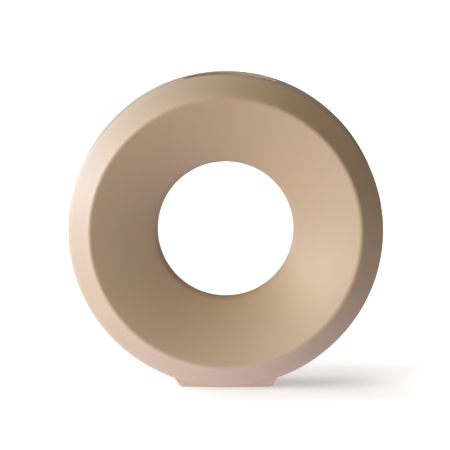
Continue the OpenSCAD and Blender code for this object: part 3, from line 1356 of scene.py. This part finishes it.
@dataclass
class Studio:
    """White floor, white surround and soft lights, some for the vase and some for the floor.

    The floor glows up at the vase, most of all close to it, and its shine to the camera rises between
    two distances from the vase. The lower shine close to the vase is painted shade: it deepens the
    vase's shadow on the floor there and lets it fade further out.
    """

    lights: tuple[SoftLight, ...]
    vase: list[bpy.types.Object]
    floor_r: float = 14.0
    floor_z: float = -0.05 * MM
    floor_rings: tuple[float, ...] = (1.0, 0.3, 0.08)
    floor_sides: int = 96
    roughness: float = 0.9
    specular: float = 0.1
    surround: float = 0.02
    backdrop: float = 1.05
    white: float = 0.86
    dull: float = 0.3
    shine: tuple[float, float] = (0.31, 0.5)
    shine_r: tuple[float, float] = (0.04, 0.23)
    glow: Colour = (0.246, 0.203, 0.146)
    near_glow: Colour = (0.356, 0.384, 0.61)
    near_r: float = 0.35

    def build(self) -> None:
        """Set up the floor, the surround and the lights."""
        floor = self._floor()
        self._surround()
        groups = {Lit.VASE: self.vase, Lit.FLOOR: [floor]}
        receivers = {lit: bpy.data.collections.new(lit.value) for lit in groups}
        for lit, objects in groups.items():
            for thing in objects:
                receivers[lit].objects.link(thing)
        for light in self.lights:
            light.place(receivers[light.lit])
            LOG.info("light %s falls on the %s", light.name, light.lit.name.lower())

    def _floor(self) -> bpy.types.Object:
        """Make the floor, a wide flat disc.

        Returns:
            The floor.
        """
        skin = Skin()
        turn = np.linspace(0, 2 * math.pi, self.floor_sides + 1)[:-1]
        rings = [skin.add(np.stack([r * np.cos(turn), r * np.sin(turn), 0 * turn + self.floor_z], 1))
                 for r in (self.floor_r * share for share in self.floor_rings)]
        skin.bridge_all(rings)
        skin.faces.append(tuple(rings[-1]))
        floor = skin.build("studio_floor")
        floor.data.materials.append(self._floor_paint())
        floor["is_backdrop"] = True
        return floor

    def _floor_paint(self) -> bpy.types.Material:
        """Make the floor's clean matte white, which throws a soft light up at the vase.

        Returns:
            The material.
        """
        paint = bpy.data.materials.new("studio_floor")
        paint.use_nodes = True
        tree = paint.node_tree
        place = add_node(tree, "TexCoord").outputs["Object"]
        away = add_node(tree, "VectorMath", {0: place}, operation="LENGTH").outputs["Value"]
        fade = add_node(tree, "MapRange", {"Value": away, "From Min": 0.0, "From Max": self.near_r},
                        interpolation_type="SMOOTHSTEP")
        # Painted shade: less shine close to the vase darkens the floor round it, deepening the vase's
        # shadow there.
        lift = add_node(tree, "MapRange", {"Value": away,
                                           "From Min": self.shine_r[0], "From Max": self.shine_r[1],
                                           "To Min": self.shine[0], "To Max": self.shine[1]})
        both = tuple(g + n for g, n in zip(self.glow, self.near_glow))
        glow = mixed(tree, fade.outputs["Result"], opaque(both), opaque(self.glow))
        camera = add_node(tree, "LightPath").outputs["Is Camera Ray"]
        light = mixed(tree, camera, glow, lift.outputs["Result"])
        white = mixed(tree, camera, opaque((self.dull,) * 3), opaque((self.white,) * 3))
        shader = tree.nodes["Principled BSDF"]
        tree.links.new(light, shader.inputs["Emission Color"])
        tree.links.new(white, shader.inputs["Base Color"])
        shader.inputs["Emission Strength"].default_value = 1.0
        shader.inputs["Roughness"].default_value = self.roughness
        shader.inputs["Specular IOR Level"].default_value = self.specular
        return paint

    def _surround(self) -> None:
        """Make the surround: plain white to the camera, faint as a light."""
        world = bpy.data.worlds.new("studio_surround")
        bpy.context.scene.world = world
        world.use_nodes = True
        tree = world.node_tree
        tree.nodes.clear()
        glow, white = (add_node(tree, "Background", {"Color": (1, 1, 1, 1), "Strength": strength})
                       for strength in (self.surround, self.backdrop))
        camera = add_node(tree, "LightPath").outputs["Is Camera Ray"]
        both = add_node(tree, "MixShader", {0: camera, 1: glow.outputs[0], 2: white.outputs[0]})
        add_node(tree, "OutputWorld", {0: both.outputs[0]})


@dataclass
class PhotoCamera:
    """The camera at the photograph's angle, a little above the ring's centre.

    The photograph's middle lies a few of its pixels off the ring's centre, and the lens shifts by them.
    """

    target: Vector
    ring_r: float
    rings_away: float = 17
    elevation: float = 8.8
    lens: float = 212.8
    sensor_w: float = 36
    right_px: float = 0.7
    down_px: float = 3.5

    def build(self) -> None:
        """Make the camera and give it to the scene."""
        e = math.radians(self.elevation)
        lens = bpy.data.cameras.new("photo_camera")
        lens.sensor_width = self.sensor_w
        lens.lens = self.lens
        lens.shift_x, lens.shift_y = -self.right_px / PHOTO_SIDE, self.down_px / PHOTO_SIDE
        camera = bpy.data.objects.new("photo_camera", lens)
        back = Vector((0, -math.cos(e), math.sin(e)))
        camera.location = self.target + self.rings_away * self.ring_r * back
        camera.rotation_euler = (QUARTER - e, 0, 0)
        bpy.context.scene.collection.objects.link(camera)
        bpy.context.scene.camera = camera


# Each light's name, what it falls on, its azimuth, elevation and spread in degrees, strength and colour.
LIGHTS = (
    SoftLight("left_window", Lit.VASE, -95, 4, 45, 1.442, (0.6, 0.76, 1.0)),
    SoftLight("left_softbox", Lit.VASE, -84, 14, 16, 0.184, (0.5, 0.57, 1.0)),
    SoftLight("high_left", Lit.VASE, -90, 34, 16, 0.226, (0.88, 1.0, 0.83)),
    SoftLight("front_left_low", Lit.VASE, -48, 8, 16, 0.399, (1.0, 0.93, 0.85)),
    SoftLight("front_left_high", Lit.VASE, -48, 20, 16, 0.185, (1.0, 0.9, 0.4)),
    SoftLight("front_right_fill", Lit.VASE, 30, 4, 45, 0.057, (1.0, 0.89, 0.4)),
    SoftLight("back_rim", Lit.VASE, 180, 20, 45, 0.05, (1.0, 0.93, 0.92)),
    SoftLight("back_right", Lit.VASE, 150, 35, 30, 0.1, (0.88, 0.93, 1.0)),
    SoftLight("floor_left_front", Lit.FLOOR, -60, 25, 40, 0.615),
    SoftLight("floor_left_back", Lit.FLOOR, -120, 25, 40, 0.641),
    SoftLight("floor_high_front", Lit.FLOOR, -45, 75, 50, 0.256),
    SoftLight("floor_overhead", Lit.FLOOR, -90, 80, 30, 0.095),
)
# The nodes that keep their CAD shapes, with their finishes.
KEPT_SHAPES = {
    "front_shell": Slot.FIRED_CLAY,
    "back_shell": Slot.FIRED_CLAY,
    "outer_seam_slip": Slot.JOINT_SLIP,
    "neck_seam_slip": Slot.JOINT_SLIP,
    "foot_joint_slip": Slot.JOINT_SLIP,
}


@dataclass
class DonutVase:
    """The whole vase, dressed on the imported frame."""

    frame: dict[str, dict[str, bpy.types.Object]]
    effects: Effects = field(default_factory=Effects)
    section: RingSection = field(default_factory=lambda: RingSection(ring_r=142.5 * MM))
    mouth: MouthOval = field(default_factory=MouthOval)
    foot: FootForm = field(default_factory=FootForm)
    lift: float = 0.8 * MM

    @property
    def centre_z(self) -> float:
        """Height of the ring's centre."""
        return self.section.ring_r + self.lift

    def build(self) -> None:
        """Make the new pieces and dress them and the frame's own nodes."""
        ring = GlazedRing(self.section, self.mouth, self.foot, self.centre_z)
        block = FootBlock(self.foot, self.section, self.centre_z)
        finishes = {finish.slot: finish.material(self.effects) for finish in FINISHES}
        self._carry(ring.coat_piece(), "outer_glaze", Slot.MATTE_GLAZE, finishes)
        self._carry(ring.lining_piece(), "inner_glaze", Slot.LINING_GLAZE, finishes)
        self._carry(block.piece(), "foot", Slot.FIRED_CLAY, finishes)
        for name, slot in KEPT_SHAPES.items():
            self._dress(self.frame["nodes"][name], finishes[slot])
            LOG.info("node %s keeps its shape and gets %s", name, slot.value)

    def _carry(self, piece: bpy.types.Object, node: str, slot: Slot,
               finishes: dict[Slot, bpy.types.Material]) -> None:
        """Dress a new piece, put it on the vase's body and let it stand for its node.

        Args:
            piece: The new piece.
            node: The node of the frame that it stands for.
            slot: Its material slot.
            finishes: The material for each slot.
        """
        self._dress(piece, finishes[slot])
        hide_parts(node)
        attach(piece, "root")
        faces = len(piece.data.polygons)
        LOG.info("piece %s stands for %s: %d faces, %s", piece.name, node, faces, slot.value)

    @staticmethod
    def _dress(piece: bpy.types.Object, finish: bpy.types.Material) -> None:
        """Give a piece one finish all over."""
        piece.data.materials.clear()
        piece.data.materials.append(finish)


def main() -> None:
    """Load the frame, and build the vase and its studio."""
    logging.basicConfig(level=logging.INFO, format="%(name)s: %(message)s")
    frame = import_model()
    vase = DonutVase(frame)
    vase.build()
    Studio(LIGHTS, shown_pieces()).build()
    PhotoCamera(Vector((0, 0, vase.centre_z)), vase.section.ring_r).build()
    bpy.context.scene.view_settings.view_transform = "Standard"


if __name__ == "__main__":
    main()
